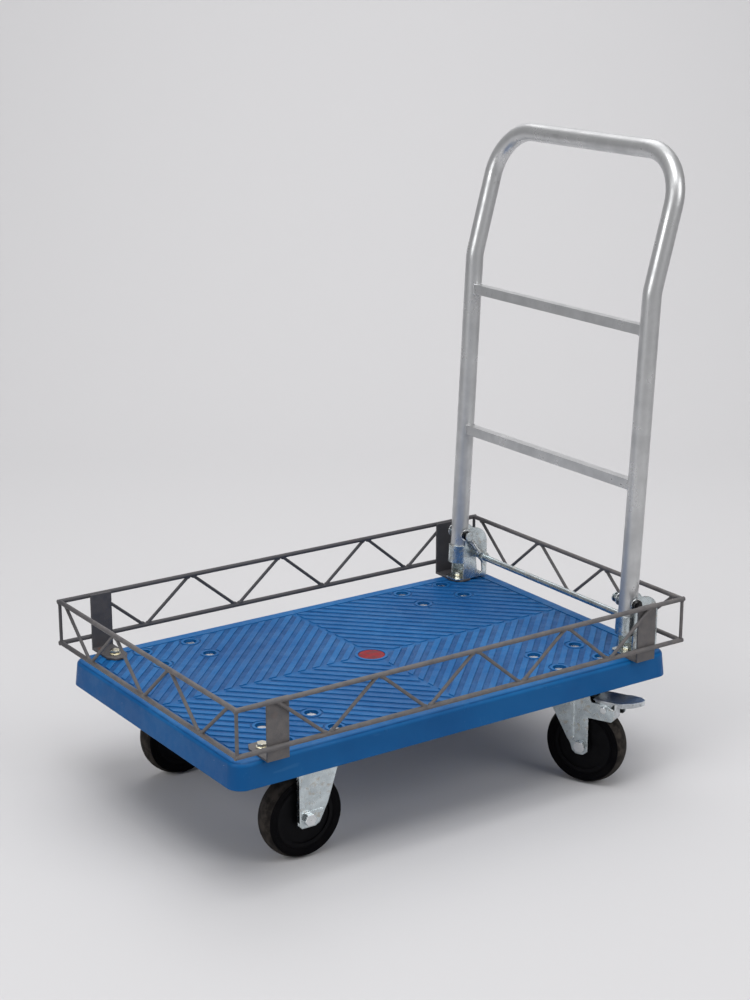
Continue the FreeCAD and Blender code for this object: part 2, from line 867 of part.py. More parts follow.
def fork_outline():
    low = wheel_radius - 13.5
    arm_low = pedal_pin_z - fork_arm_drop
    return [(-fork_front, crown_split), (-fork_front, crown_split - 22), (19.5, wheel_radius), (22, low + 5),
            (28, low), (40, low), (fork_rear, low + 6), (fork_rear, arm_low), (fork_arm - 4, arm_low),
            (fork_arm, arm_low + 4), (fork_arm, pedal_pin_z + 2), (pedal_pin_reach + 6, pedal_pin_z + 7),
            (fork_rear + 4, pedal_pin_z + 9), (fork_rear, crown_split)]


def fork_step_outline():
    foot = wheel_radius + 8
    return [(-fork_front, crown_split), (-fork_front, crown_split - 22), (14.9, foot), (fork_crease, foot),
            (fork_crease, crown_split)]


def make_swivel_fork():
    pieces = [bar_z(crown_radius, 0, 0, crown_split - 1, crown_top),
              block(-fork_front, fork_rear, -leg_outer, leg_outer, crown_bottom, crown_split),
              bar_z(crown_radius - 8, 0, 0, crown_bottom, crown_split)]
    for side in (-1, 1):
        y0 = min(side * (leg_outer - 1), side * (leg_outer + fork_step))
        pieces.append(fork_leg(fork_outline(), side))
        pieces.append(outline_xz(fork_step_outline(), y0, y0 + fork_step + 1))
    fork = fused(pieces)
    holes = [bar_z(kingpin_radius + running_gap, 0, 0, crown_bottom - 2, crown_top + 2),
             bar_y(axle_radius, swivel_trail, wheel_radius, -60, 60),
             bar_y(pedal_pin_radius, pedal_pin_reach, pedal_pin_z, -60, 60)]
    return at_swivel_caster(fork.cut(holes))


def pedal_pin():
    shank = bar_y(pedal_pin_radius, pedal_pin_reach, pedal_pin_z, -leg_outer - 1, leg_outer + 1)
    ends = []
    for side in (-1, 1):
        y0 = min(side * leg_outer, side * (leg_outer + 2))
        ends.append(bar_y(pedal_pin_radius + 2, pedal_pin_reach, pedal_pin_z, y0, y0 + 2))
    return at_swivel_caster(fused([shank] + ends))


def pedal_under():
    return pedal_pin_z + pedal_rise


def pedal_curve(drop, sheet, y0, y1):
    z = pedal_under() - drop
    high = pedal_under() + sheet
    return outline_xz([(pedal_start, z), (90, z), (108, z + 2), (pedal_reach, z + 5),
                       (pedal_reach, high + 5), (108, high + 2), (90, high), (pedal_start, high)], y0, y1)


def pedal_plan(inset):
    half = pedal_width / 2 - inset
    tip = pedal_reach - inset
    level = pedal_under()
    return outline_xy([(pedal_start, -half + 2), (66, -half), (100, -half), (115, -half + 6), (tip - 3, -6),
                       (tip, 0), (tip - 3, 6), (115, half - 6), (100, half), (66, half),
                       (pedal_start, half - 2)], level - 20, level + 20)


def make_brake_pedal():
    half = pedal_width / 2
    under = pedal_under()
    leaf = pedal_curve(0, pedal_sheet, -half, half).common(pedal_plan(0)).Solids[0]
    rim = pedal_curve(pedal_rim, 1, -half, half).common(pedal_plan(0)).cut(pedal_plan(pedal_sheet))
    rim = rim.common(block(fork_arm + 5, pedal_reach + 1, -half, half, 0, crown_top)).Solids[0]
    cheek_outer = leg_inner - face_gap
    x = pedal_pin_reach
    cheek_points = [(x - 15, under + 1), (x - 10, pedal_pin_z - 5), (x + 4, pedal_pin_z - 5),
                    (x + 12, under - 5), (x + 17, under + 1)]
    pieces = [leaf, rim]
    for side in (-1, 1):
        y0 = min(side * cheek_outer, side * (cheek_outer - pedal_sheet))
        pieces.append(outline_xz(cheek_points, y0, y0 + pedal_sheet))
    hole = bar_y(pedal_pin_radius + running_gap, pedal_pin_reach, pedal_pin_z, -60, 60)
    return at_swivel_caster(fused(pieces).cut(hole))


def make_brake_shoe():
    start = pedal_pin_reach + shoe_start
    shoe = block(start, start + shoe_length, -10, 10, wheel_radius, pedal_under())
    keep = bar_y(wheel_radius + shoe_gap, swivel_trail, wheel_radius, -30, 30)
    return at_swivel_caster(shoe.cut(keep))


# write every node

save("deck", [make_deck()])
save("centre_disc", [make_centre_disc()])
save("rail_upper_bars", rail_bars(upper_z))
save("rail_lower_bars", rail_bars(lower_z))
save("rail_corner_posts", rail_posts())
save("rail_side_diagonals", side_diagonals())
save("rail_end_diagonals", end_diagonals())
save_pair("rail_bracket_front", make_rail_bracket(-bracket_x))
save_pair("rail_bracket_rear", make_rail_bracket(bracket_x))
save("rail_bolts", rail_bolts())
save("rail_washers", rail_washers())
save("rail_nuts", rail_nuts())
save_pair("hinge_bracket", make_hinge_bracket())
save("pivot_bolts", both_sides(pivot_bolt()))
save("pivot_washers", pivot_washers())
save("pivot_caps", pivot_caps())
save("release_rod", [release_rod()])
save("release_collars", release_collars())
save_pair("release_spring", make_spring())
save("handle_tube", [make_handle_tube()])
save("crossbar_lower", [make_crossbar(crossbars_above_deck[0])])
save("crossbar_upper", [make_crossbar(crossbars_above_deck[1])])
save("tube_plugs", tube_plugs())
save_pair("fixed_fork", make_fixed_fork())
save("fixed_axle_bolts", both_sides(at_fixed_caster(axle_bolt(axle_seat))))
save("fixed_axle_nuts", both_sides(at_fixed_caster(axle_nut(axle_seat))))
save("fixed_sleeves", both_sides(at_fixed_caster(axle_sleeve())))
save_pair("fixed_tyre", at_fixed_caster(tyre_ring()))
save_pair("fixed_hub", at_fixed_caster(hub_disc()))
save("caster_bolts", caster_bolts())
save("caster_nuts", caster_nuts())
save_pair("swivel_plate", make_swivel_plate())
save("bearing_rings", bearing_rings())
save("kingpins", kingpins())
save_pair("swivel_fork", make_swivel_fork())
save_pair("swivel_axle_bolt", at_swivel_wheel(axle_bolt(0)))
save_pair("swivel_axle_nut", at_swivel_wheel(axle_nut(0)))
save_pair("swivel_sleeve", at_swivel_wheel(axle_sleeve()))
save_pair("swivel_tyre", at_swivel_wheel(tyre_ring()))
save_pair("swivel_hub", at_swivel_wheel(hub_disc()))
save_pair("pedal_pin", pedal_pin())
save_pair("brake_pedal", make_brake_pedal())
save_pair("brake_shoe", make_brake_shoe())
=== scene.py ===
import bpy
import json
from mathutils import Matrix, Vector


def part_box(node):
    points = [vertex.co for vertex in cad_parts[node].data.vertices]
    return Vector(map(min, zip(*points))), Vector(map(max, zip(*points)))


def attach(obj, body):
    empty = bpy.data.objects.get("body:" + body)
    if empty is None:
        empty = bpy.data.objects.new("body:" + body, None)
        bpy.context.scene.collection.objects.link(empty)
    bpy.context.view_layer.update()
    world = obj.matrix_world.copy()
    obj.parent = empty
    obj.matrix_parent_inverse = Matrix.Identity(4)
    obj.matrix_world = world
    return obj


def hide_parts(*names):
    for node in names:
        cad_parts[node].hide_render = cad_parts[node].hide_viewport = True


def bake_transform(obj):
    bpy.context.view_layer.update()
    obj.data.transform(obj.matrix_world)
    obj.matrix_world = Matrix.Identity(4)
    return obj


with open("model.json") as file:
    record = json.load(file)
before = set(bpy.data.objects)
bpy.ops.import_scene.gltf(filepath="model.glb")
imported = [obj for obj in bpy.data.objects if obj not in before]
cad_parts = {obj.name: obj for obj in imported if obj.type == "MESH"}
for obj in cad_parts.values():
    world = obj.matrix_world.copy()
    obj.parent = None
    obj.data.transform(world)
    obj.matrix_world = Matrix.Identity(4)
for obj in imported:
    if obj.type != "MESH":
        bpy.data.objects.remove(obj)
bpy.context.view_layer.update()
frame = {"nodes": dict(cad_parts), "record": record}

import bpy, json, math, random
from mathutils import Matrix, Vector

nodes = frame["nodes"]
random.seed(7)
bpy.ops.object.select_all(action="DESELECT")


def boxMiddle(name):
    low, high = [Vector(corner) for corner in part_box(name)]
    return (low + high) / 2


def boxSize(name):
    low, high = [Vector(corner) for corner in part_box(name)]
    return high - low


railBar = boxSize("rail_upper_bars").z
cartFacts = {  # metres, worked out from the CAD pieces
    "deckMiddleX": boxMiddle("deck").x,
    "deckTop": boxMiddle("deck").z + boxSize("deck").z / 2,
    "railY": (boxSize("rail_upper_bars").y - railBar) / 2,
    "railLow": boxMiddle("rail_lower_bars").z,
    "lean": math.radians(2.9),  # of the lower part of the handle
}


def mm(x, y, z):  # a place in millimetres from the deck's middle, on the floor
    return Vector((x / 1000 + cartFacts["deckMiddleX"], y / 1000, z / 1000))


stageFacts = {
    "floorSize": 14.0,
    "wallBack": 3.4,
    "wallHigh": 6.0,
    "curve": 1.6,
    "curveSteps": 24,
    "edgeBand": 0.01,
    "floorColour": (0.61, 0.605, 0.615, 1),
    "worldColour": (0.985, 0.985, 1.0, 1),
    "worldStrength": 0.25,
    "lightAim": (0, 0, 0.35),
    "wallAimHigh": 0.5,
    "wallBank": (145.6, 65, 2.9, 3.0, 30, 3.2),  # as a bank, and how far away it aims
    "banks": {  # azimuth, elevation, distance, size and power
        "overheadBank": (-30, 74, 3.6, 2.4, 84),
        "leftBank": (-82, 26, 3.8, 2.0, 44),
        "rightBank": (22, 30, 4.2, 2.2, 50),
        "backBank": (150, 55, 4.0, 2.6, 18),
    },
}
cameraFacts = {
    "azimuth": -34.4,
    "elevation": 16.4,
    "distance": 2.9342,
    "aim": (4.3, -2.9, 432.6),
    "lens": 72.137,
    "sensor": 36.0,
    "farLimit": 60,
}


def makeStage():  # one sheet, curved where the floor meets the wall
    back = stageFacts["wallBack"]
    bpy.ops.mesh.primitive_plane_add(size=stageFacts["floorSize"])
    sheet = bpy.context.object
    sheet.name = "studioSheet"
    sheet.data.transform(Matrix.Translation((0, back - stageFacts["floorSize"] / 2, 0)))
    for vertex in sheet.data.vertices:
        vertex.select = vertex.co.y > back - stageFacts["edgeBand"]
    for edge in sheet.data.edges:
        edge.select = all(sheet.data.vertices[i].select for i in edge.vertices)
    for face in sheet.data.polygons:
        face.select = False
    bpy.ops.object.mode_set(mode="EDIT")
    bpy.ops.mesh.extrude_region_move(TRANSFORM_OT_translate={"value": (0, 0, stageFacts["wallHigh"])})
    bpy.ops.object.mode_set(mode="OBJECT")
    curve = sheet.modifiers.new("curve", "BEVEL")
    curve.width = stageFacts["curve"]
    curve.segments = stageFacts["curveSteps"]
    curve.limit_method = "ANGLE"
    bpy.ops.object.modifier_apply(modifier="curve")
    bpy.ops.object.shade_smooth()
    sheet.data.transform(Matrix.Rotation(math.radians(cameraFacts["azimuth"]), 4, "Z"))
    sheet.data.materials.append(plainPale("studioPale", stageFacts["floorColour"]))


def plainPale(name, colour):
    material = bpy.data.materials.new(name)
    material.use_nodes = True
    shader = material.node_tree.nodes["Principled BSDF"]
    shader.inputs["Base Color"].default_value = colour
    shader.inputs["Roughness"].default_value = 0.85
    return material


def addSoftLight(name, aim, azimuth, elevation, distance, size, power):
    bpy.ops.object.light_add(type="AREA")
    lamp = bpy.context.object
    lamp.name = name
    lamp.data.shape = "SQUARE"
    lamp.data.size = size
    lamp.data.energy = power
    a = math.radians(azimuth)
    e = math.radians(elevation)
    away = Vector((math.sin(a) * math.cos(e), -math.cos(a) * math.cos(e), math.sin(e)))
    lamp.location = Vector(aim) + away * distance
    lamp.rotation_euler = away.to_track_quat("Z", "Y").to_euler()


def makeLights():
    world = bpy.context.scene.world or bpy.data.worlds.new("studioAir")
    bpy.context.scene.world = world
    world.use_nodes = True
    air = world.node_tree.nodes["Background"]
    air.inputs["Color"].default_value = stageFacts["worldColour"]
    air.inputs["Strength"].default_value = stageFacts["worldStrength"]
    for name, bank in stageFacts["banks"].items():
        addSoftLight(name, stageFacts["lightAim"], *bank)
    azimuth, elevation, distance, size, power, reach = stageFacts["wallBank"]
    turn = math.radians(azimuth)
    foot = (math.sin(turn) * reach, -math.cos(turn) * reach, stageFacts["wallAimHigh"])
    addSoftLight("wallBank", foot, azimuth + 180, elevation, distance, size, power)
    bpy.context.scene.view_settings.view_transform = "Standard"


def makeCamera():
    a = math.radians(cameraFacts["azimuth"])
    e = math.radians(cameraFacts["elevation"])
    back = Vector((math.sin(a) * math.cos(e), -math.cos(a) * math.cos(e), math.sin(e)))
    right = Vector((math.cos(a), math.sin(a), 0))
    up = back.cross(right)
    place = mm(*cameraFacts["aim"]) + back * cameraFacts["distance"]
    bpy.ops.object.camera_add()
    camera = bpy.context.object
    camera.name = "photoCamera"
    turn = Matrix((right, up, back)).transposed().to_4x4()
    camera.matrix_world = Matrix.Translation(place) @ turn
    camera.data.lens = cameraFacts["lens"]
    camera.data.sensor_width = cameraFacts["sensor"]
    camera.data.clip_end = cameraFacts["farLimit"]
    bpy.context.scene.camera = camera


makeStage()
makeLights()
makeCamera()
print("stage, lights and camera ready")


def newGroup(name, inputs, outputs):
    group = bpy.data.node_groups.new(name, "ShaderNodeTree")
    for label, kind, value in inputs:
        socket = group.interface.new_socket(name=label, in_out="INPUT", socket_type="NodeSocket" + kind)
        if value is not None:
            socket.default_value = value
    for label, kind in outputs:
        group.interface.new_socket(name=label, in_out="OUTPUT", socket_type="NodeSocket" + kind)
    return group, group.nodes.new("NodeGroupInput"), group.nodes.new("NodeGroupOutput")


def feed(tree, socket, value):  # a link, or a plain value
    if isinstance(value, bpy.types.NodeSocket):
        tree.links.new(value, socket)
    else:
        socket.default_value = value


def mathOf(tree, operation, first, second=0.0, third=None, clamp=False):
    node = tree.nodes.new("ShaderNodeMath")
    node.operation = operation
    node.use_clamp = clamp
    feed(tree, node.inputs[0], first)
    feed(tree, node.inputs[1], second)
    if third is not None:
        feed(tree, node.inputs[2], third)
    return node.outputs[0]


def productOf(tree, *values):
    product = values[0]
    for value in values[1:]:
        product = mathOf(tree, "MULTIPLY", product, value, clamp=True)
    return product


def ramp(tree, value, low, high, outLow=0.0, outHigh=1.0):
    node = tree.nodes.new("ShaderNodeMapRange")
    node.interpolation_type = "SMOOTHSTEP"
    for socket, item in zip(node.inputs, (value, low, high, outLow, outHigh)):
        feed(tree, socket, item)
    return node.outputs[0]


def blendColour(tree, mask, first, second):
    node = tree.nodes.new("ShaderNodeMix")
    node.data_type = "RGBA"
    feed(tree, node.inputs["Factor"], mask)
    feed(tree, node.inputs[6], first)
    feed(tree, node.inputs[7], second)
    return node.outputs[2]


def cloud(tree, place, size, detail=3.0, rough=0.55):
    node = tree.nodes.new("ShaderNodeTexNoise")
    feed(tree, node.inputs["Vector"], place)
    feed(tree, node.inputs["Scale"], size)
    node.inputs["Detail"].default_value = detail
    node.inputs["Roughness"].default_value = rough
    return node.outputs["Fac"]


def stretched(tree, place, scale):
    node = tree.nodes.new("ShaderNodeMapping")
    feed(tree, node.inputs["Vector"], place)
    node.inputs["Scale"].default_value = scale
    return node.outputs["Vector"]


effectFacts = {
    "grainHigh": 0.0006,
    "wearRadius": 0.0011,
    "wearSamples": 6,
    "wearAngle": (0.985, 0.80),
    "wearSize": 260.0,
    "wearBroken": (0.42, 0.62),
    "scuffsAlong": (14, 420, 90),
    "scuffsAcross": (380, 22, 70),
    "scuffLines": ((0.66, 0.72), (0.68, 0.74)),
    "scuffZone": (0.48, 0.62),
    "scuffZoneSize": 9.0,
    "dustUpward": (0.2, 0.95),
    "dustDrift": (0.35, 0.75),
    "dustSize": 18.0,
}


def makePatchTone():  # soft blotches, 0 to 1
    group, given, out = newGroup("patchTone", [("Place", "Vector", None), ("Size", "Float", 8.0),
                                               ("Low", "Float", 0.4), ("High", "Float", 0.6)],
                                 [("Mask", "Float")])
    spots = cloud(group, given.outputs["Place"], given.outputs["Size"], detail=4.0, rough=0.6)
    mask = ramp(group, spots, given.outputs["Low"], given.outputs["High"])
    group.links.new(mask, out.inputs["Mask"])
    return group


def makeFineGrain():  # small bumps of paint, moulding or plating
    group, given, out = newGroup("fineGrain", [("Place", "Vector", None), ("Size", "Float", 900.0),
                                               ("Depth", "Float", 0.2), ("Normal", "Vector", None)],
                                 [("Normal", "Vector"), ("Mask", "Float")])
    grain = cloud(group, given.outputs["Place"], given.outputs["Size"], detail=2.0, rough=0.5)
    bump = group.nodes.new("ShaderNodeBump")
    bump.inputs["Distance"].default_value = effectFacts["grainHigh"]
    group.links.new(given.outputs["Depth"], bump.inputs["Strength"])
    group.links.new(grain, bump.inputs["Height"])
    group.links.new(given.outputs["Normal"], bump.inputs["Normal"])
    group.links.new(bump.outputs["Normal"], out.inputs["Normal"])
    group.links.new(grain, out.inputs["Mask"])
    return group


def makeEdgeWear():  # edges that show through, and a normal that rounds them
    group, given, out = newGroup("edgeWear", [("Place", "Vector", None), ("Amount", "Float", 1.0)],
                                 [("Mask", "Float"), ("Normal", "Vector")])
    bevel = group.nodes.new("ShaderNodeBevel")
    bevel.samples = effectFacts["wearSamples"]
    bevel.inputs["Radius"].default_value = effectFacts["wearRadius"]
    shape = group.nodes.new("ShaderNodeNewGeometry")
    dot = group.nodes.new("ShaderNodeVectorMath")
    dot.operation = "DOT_PRODUCT"
    group.links.new(bevel.outputs["Normal"], dot.inputs[0])
    group.links.new(shape.outputs["Normal"], dot.inputs[1])
    edge = ramp(group, dot.outputs["Value"], *effectFacts["wearAngle"])
    spots = cloud(group, given.outputs["Place"], effectFacts["wearSize"], detail=4.0, rough=0.65)
    broken = ramp(group, spots, *effectFacts["wearBroken"])
    mask = productOf(group, edge, broken, given.outputs["Amount"])
    group.links.new(mask, out.inputs["Mask"])
    group.links.new(bevel.outputs["Normal"], out.inputs["Normal"])
    return group


def makeScuffs():  # thin scratches in two directions
    group, given, out = newGroup("scuffs", [("Place", "Vector", None), ("Amount", "Float", 1.0)],
                                 [("Mask", "Float")])
    ways = []
    for scale, limits in zip(("scuffsAlong", "scuffsAcross"), effectFacts["scuffLines"]):
        place = stretched(group, given.outputs["Place"], effectFacts[scale])
        streaks = cloud(group, place, size=1.0, detail=2.0, rough=0.5)
        ways.append(ramp(group, streaks, *limits))
    lines = mathOf(group, "MAXIMUM", *ways)
    spots = cloud(group, given.outputs["Place"], effectFacts["scuffZoneSize"], detail=2.0, rough=0.5)
    zone = ramp(group, spots, *effectFacts["scuffZone"])
    mask = productOf(group, lines, zone, given.outputs["Amount"])
    group.links.new(mask, out.inputs["Mask"])
    return group


def makeDust():  # settles on what faces up
    group, given, out = newGroup("dust", [("Place", "Vector", None), ("Amount", "Float", 0.3)],
                                 [("Mask", "Float")])
    coordinate = group.nodes.new("ShaderNodeTexCoord")
    split = group.nodes.new("ShaderNodeSeparateXYZ")
    group.links.new(coordinate.outputs["Normal"], split.inputs[0])
    upward = ramp(group, split.outputs["Z"], *effectFacts["dustUpward"])
    spots = cloud(group, given.outputs["Place"], effectFacts["dustSize"], detail=5.0, rough=0.65)
    drift = ramp(group, spots, *effectFacts["dustDrift"])
    mask = productOf(group, upward, drift, given.outputs["Amount"])
    group.links.new(mask, out.inputs["Mask"])
    return group


effects = {
    "patchTone": makePatchTone(),
    "fineGrain": makeFineGrain(),
    "edgeWear": makeEdgeWear(),
    "scuffs": makeScuffs(),
    "dust": makeDust(),
}
print("shader effects ready")


def effect(tree, name, place, **values):
    node = tree.nodes.new("ShaderNodeGroup")
    node.node_tree = effects[name]
    tree.links.new(place, node.inputs["Place"])
    for label, value in values.items():
        feed(tree, node.inputs[label], value)
    return node.outputs


def startFinish(name, roughness, metallic=0.0, specular=0.5):
    material = bpy.data.materials.new(name)
    material.use_nodes = True
    tree = material.node_tree
    shader = tree.nodes["Principled BSDF"]
    shader.inputs["Roughness"].default_value = roughness
    shader.inputs["Metallic"].default_value = metallic
    shader.inputs["Specular IOR Level"].default_value = specular
    place = tree.nodes.new("ShaderNodeTexCoord").outputs["Object"]
    return material, tree, shader, place


def splitPlace(tree, place):
    node = tree.nodes.new("ShaderNodeSeparateXYZ")
    tree.links.new(place, node.inputs[0])
    return node.outputs


deckLook = {
    "deep": (0.0018, 0.082, 0.262, 1),
    "bright": (0.0048, 0.126, 0.360, 1),
    # painted shade colour, for the groove bottoms and the skirt
    "groove": (0.0014, 0.052, 0.182, 1),
    "scuff": (0.06, 0.22, 0.46, 1),
    "dusty": (0.10, 0.21, 0.36, 1),
    "chip": (0.62, 0.70, 0.78, 1),
    "rough": (0.36, 0.50),
    "grooveDepth": 0.0012,
    "grooveFloor": (-0.0012, -0.0006),  # from the bottom of a groove
    "grooveWall": (0.0010, 0.0001),
    # how strongly the painted groove shade shows, from patch to patch
    "grooveShadeVary": (0.55, 0.95),
    "seamFade": (0.0027, 0.0063),
    "seamShade": (0.35, 1.0),
    # painted shade on the skirt, the deck's side faces below the top edge
    "skirtDepths": (0.004, 0.007),
    "skirtShade": 0.35,
}


def grooveMask(tree, place, across):  # painted shade in the bottoms of the grooves, stronger in some patches than others, fading beside the seams
    bottom = cartFacts["deckTop"] - deckLook["grooveDepth"]
    above = ramp(tree, across["Z"], *[bottom + shift for shift in deckLook["grooveFloor"]])
    below = ramp(tree, across["Z"], *[bottom + shift for shift in deckLook["grooveWall"]])
    # patches where the painted groove shade is stronger or weaker
    grooveShadeVary = effect(tree, "patchTone", place, Size=30.0, Low=0.25, High=0.75)["Mask"]
    grooveShadeAmount = ramp(tree, grooveShadeVary, 0.0, 1.0, *deckLook["grooveShadeVary"])
    fromMiddle = mathOf(tree, "SUBTRACT", across["X"], cartFacts["deckMiddleX"])
    endSeam = mathOf(tree, "ABSOLUTE", fromMiddle)
    sideSeam = mathOf(tree, "ABSOLUTE", across["Y"])
    nearest = mathOf(tree, "MINIMUM", endSeam, sideSeam)
    fade = ramp(tree, nearest, *deckLook["seamFade"], *deckLook["seamShade"])
    return productOf(tree, above, below, grooveShadeAmount, fade)


def makeDeckBlue():
    material, tree, shader, place = startFinish("deckBlue", roughness=0.40, specular=0.16)
    tone = effect(tree, "patchTone", place, Size=5.0, Low=0.3, High=0.7)["Mask"]
    colour = blendColour(tree, tone, deckLook["deep"], deckLook["bright"])
    across = splitPlace(tree, place)
    # painted shade: groove bottoms blended towards the darker blue
    colour = blendColour(tree, grooveMask(tree, place, across), colour, deckLook["groove"])
    wear = effect(tree, "edgeWear", place, Amount=0.35)
    colour = blendColour(tree, wear["Mask"], colour, deckLook["scuff"])
    scuffs = effect(tree, "scuffs", place, Amount=0.30)["Mask"]
    colour = blendColour(tree, scuffs, colour, deckLook["scuff"])
    dust = effect(tree, "dust", place, Amount=0.12)["Mask"]
    colour = blendColour(tree, dust, colour, deckLook["dusty"])
    chips = effect(tree, "patchTone", place, Size=150.0, Low=0.735, High=0.75)["Mask"]
    # painted shade: the skirt is blended towards the darker blue, as if it faced away from the light
    skirtStart, skirtFull = [cartFacts["deckTop"] - depth for depth in deckLook["skirtDepths"]]
    skirt = ramp(tree, across["Z"], skirtStart, skirtFull)
    shade = mathOf(tree, "MULTIPLY", skirt, deckLook["skirtShade"])
    colour = blendColour(tree, shade, colour, deckLook["groove"])
    colour = blendColour(tree, mathOf(tree, "MULTIPLY", chips, skirt), colour, deckLook["chip"])
    feed(tree, shader.inputs["Base Color"], colour)
    spots = effect(tree, "patchTone", place, Size=60.0, Low=0.3, High=0.7)["Mask"]
    feed(tree, shader.inputs["Roughness"], ramp(tree, spots, 0.0, 1.0, *deckLook["rough"]))
    grain = effect(tree, "fineGrain", place, Size=700.0, Depth=0.22, Normal=wear["Normal"])
    feed(tree, shader.inputs["Normal"], grain["Normal"])
    return material


discLook = {
    "deep": (0.115, 0.006, 0.012, 1),
    "bright": (0.235, 0.009, 0.017, 1),
    "dusty": (0.27, 0.09, 0.10, 1),
    "rough": (0.36, 0.50),
}


def makeDiscRed():
    material, tree, shader, place = startFinish("discRed", roughness=0.42, specular=0.16)
    tone = effect(tree, "patchTone", place, Size=95.0, Low=0.38, High=0.56)["Mask"]
    colour = blendColour(tree, tone, discLook["deep"], discLook["bright"])
    dust = effect(tree, "dust", place, Amount=0.10)["Mask"]
    colour = blendColour(tree, dust, colour, discLook["dusty"])
    feed(tree, shader.inputs["Base Color"], colour)
    feed(tree, shader.inputs["Roughness"], ramp(tree, tone, 0.0, 1.0, *discLook["rough"]))
    grain = effect(tree, "fineGrain", place, Size=900.0, Depth=0.15)
    feed(tree, shader.inputs["Normal"], grain["Normal"])
    return material


railLook = {
    "grey": (0.098, 0.094, 0.098, 1),
    "pale": (0.140, 0.130, 0.128, 1),
    # painted shade colour, laid over the far side of the rail
    "farShadeColour": (0.030, 0.030, 0.038, 1),
    "rust": (0.15, 0.050, 0.022, 1),
    "bare": (0.34, 0.33, 0.33, 1),
    "rough": (0.48, 0.66),
    "farFade": (0.10, 0.25),
    "farShade": 0.60,
    "rustAbove": 0.002,  # where the rust fades out and in, from the low bars
    "rustBelow": 0.012,
    "rustRange": (0.10, 0.75),
}


def makeRailGrey():
    material, tree, shader, place = startFinish("railGrey", roughness=0.58, specular=0.35)
    tone = effect(tree, "patchTone", place, Size=70.0, Low=0.32, High=0.68)["Mask"]
    colour = blendColour(tree, tone, railLook["grey"], railLook["pale"])
    across = splitPlace(tree, place)
    # painted shade: the far side of the rail is darkened by its Y place, as if it were out of the light
    farSide = ramp(tree, across["Y"], *railLook["farFade"])
    farSide = mathOf(tree, "MULTIPLY", farSide, railLook["farShade"])
    colour = blendColour(tree, farSide, colour, railLook["farShadeColour"])
    rust = effect(tree, "patchTone", place, Size=34.0, Low=0.62, High=0.72)["Mask"]
    rustStart = cartFacts["railLow"] + railLook["rustAbove"]
    rustFull = cartFacts["railLow"] - railLook["rustBelow"]
    nearFoot = ramp(tree, across["Z"], rustStart, rustFull, *railLook["rustRange"])
    rust = mathOf(tree, "MULTIPLY", rust, nearFoot)
    colour = blendColour(tree, rust, colour, railLook["rust"])
    wear = effect(tree, "edgeWear", place, Amount=0.45)
    colour = blendColour(tree, wear["Mask"], colour, railLook["bare"])
    feed(tree, shader.inputs["Base Color"], colour)
    feed(tree, shader.inputs["Roughness"], ramp(tree, tone, 0.0, 1.0, *railLook["rough"]))
    grain = effect(tree, "fineGrain", place, Size=520.0, Depth=0.75, Normal=wear["Normal"])
    feed(tree, shader.inputs["Normal"], grain["Normal"])
    return material


handleLook = {
    "silver": (0.58, 0.585, 0.59, 1),
    "dull": (0.47, 0.475, 0.48, 1),
    "mark": (0.20, 0.205, 0.21, 1),
    "flake": (0.66, 0.67, 0.68, 1),
    "flakes": 0.35,
    "rough": (0.27, 0.38),
}


def makeHandleSilver():
    material, tree, shader, place = startFinish("handleSilver", roughness=0.34, metallic=0.7)
    tone = effect(tree, "patchTone", place, Size=22.0, Low=0.3, High=0.7)["Mask"]
    colour = blendColour(tree, tone, handleLook["silver"], handleLook["dull"])
    flake = effect(tree, "patchTone", place, Size=2600.0, Low=0.55, High=0.75)["Mask"]
    flake = mathOf(tree, "MULTIPLY", flake, handleLook["flakes"])
    colour = blendColour(tree, flake, colour, handleLook["flake"])
    scuffs = effect(tree, "scuffs", place, Amount=0.35)["Mask"]
    colour = blendColour(tree, scuffs, colour, handleLook["mark"])
    feed(tree, shader.inputs["Base Color"], colour)
    feed(tree, shader.inputs["Roughness"], ramp(tree, tone, 0.0, 1.0, *handleLook["rough"]))
    grain = effect(tree, "fineGrain", place, Size=900.0, Depth=0.12)
    feed(tree, shader.inputs["Normal"], grain["Normal"])
    return material


platedLook = {
    "zincPlate": {
        "clean": (0.66, 0.73, 0.75, 1),
        "tint": (0.46, 0.51, 0.53, 1),
        "stain": (0.48, 0.40, 0.30, 1),
        "roughness": 0.32,
        "stained": 0.55,
        "grain": 0.25,
    },
    "fastenerZinc": {
        "clean": (0.80, 0.82, 0.83, 1),
        "tint": (0.66, 0.68, 0.69, 1),
        "stain": (0.5, 0.5, 0.46, 1),
        "roughness": 0.24,
        "stained": 0.4,
        "grain": 0.2,
    },
    "boltYellowZinc": {
        "clean": (0.80, 0.78, 0.68, 1),
        "tint": (0.72, 0.67, 0.50, 1),
        "stain": (0.4, 0.35, 0.22, 1),
        "roughness": 0.25,
        "stained": 0.5,
        "grain": 0.2,
    },
    "springSteel": {
        "clean": (0.58, 0.60, 0.61, 1),
        "tint": (0.45, 0.47, 0.48, 1),
        "stain": (0.3, 0.28, 0.25, 1),
        "roughness": 0.28,
        "stained": 0.4,
        "grain": 0.1,
    },
    "pedalZinc": {
        "clean": (0.66, 0.69, 0.71, 1),
        "tint": (0.40, 0.42, 0.44, 1),
        "stain": (0.12, 0.12, 0.12, 1),
        "roughness": 0.34,
        "stained": 0.5,
        "grain": 0.4,
    },
}
rubbedLook = {
    "bright": (0.88, 0.90, 0.91, 1),
    "smoother": 0.05,
    "rougher": 0.14,
}


